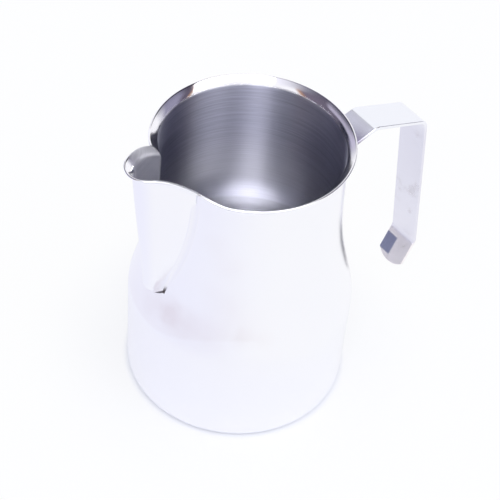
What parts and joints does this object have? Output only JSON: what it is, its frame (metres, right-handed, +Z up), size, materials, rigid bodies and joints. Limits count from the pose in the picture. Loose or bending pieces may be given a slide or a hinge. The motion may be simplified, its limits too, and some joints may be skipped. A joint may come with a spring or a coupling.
{
  "type": "milk frothing pitcher",
  "caption": "Stainless steel frothing pitcher with a round barrel, a narrower neck with a flared rim, a pressed pouring spout and an open strap handle.",
  "frame": {"origin": "centre of the base on the body's axis, on the plane the pitcher stands on", "axes": "+Z up along the body's axis, +X towards the handle, -X towards the spout"},
  "size_m": [0.1366, 0.0836, 0.1191],
  "materials": {
    "polished_steel": "mirror polished outside and on the rim, fine circular brushing inside",
    "strap_steel": "polished flat strap with softened edges",
    "weld_steel": "weld metal ground and polished flush"
  },
  "bodies": {
    "root": {"vessel_body": "polished_steel", "pouring_spout": "polished_steel", "spout_weld_seam": "weld_steel", "handle": "strap_steel", "handle_welds": "weld_steel"}
  },
  "joints": []
}
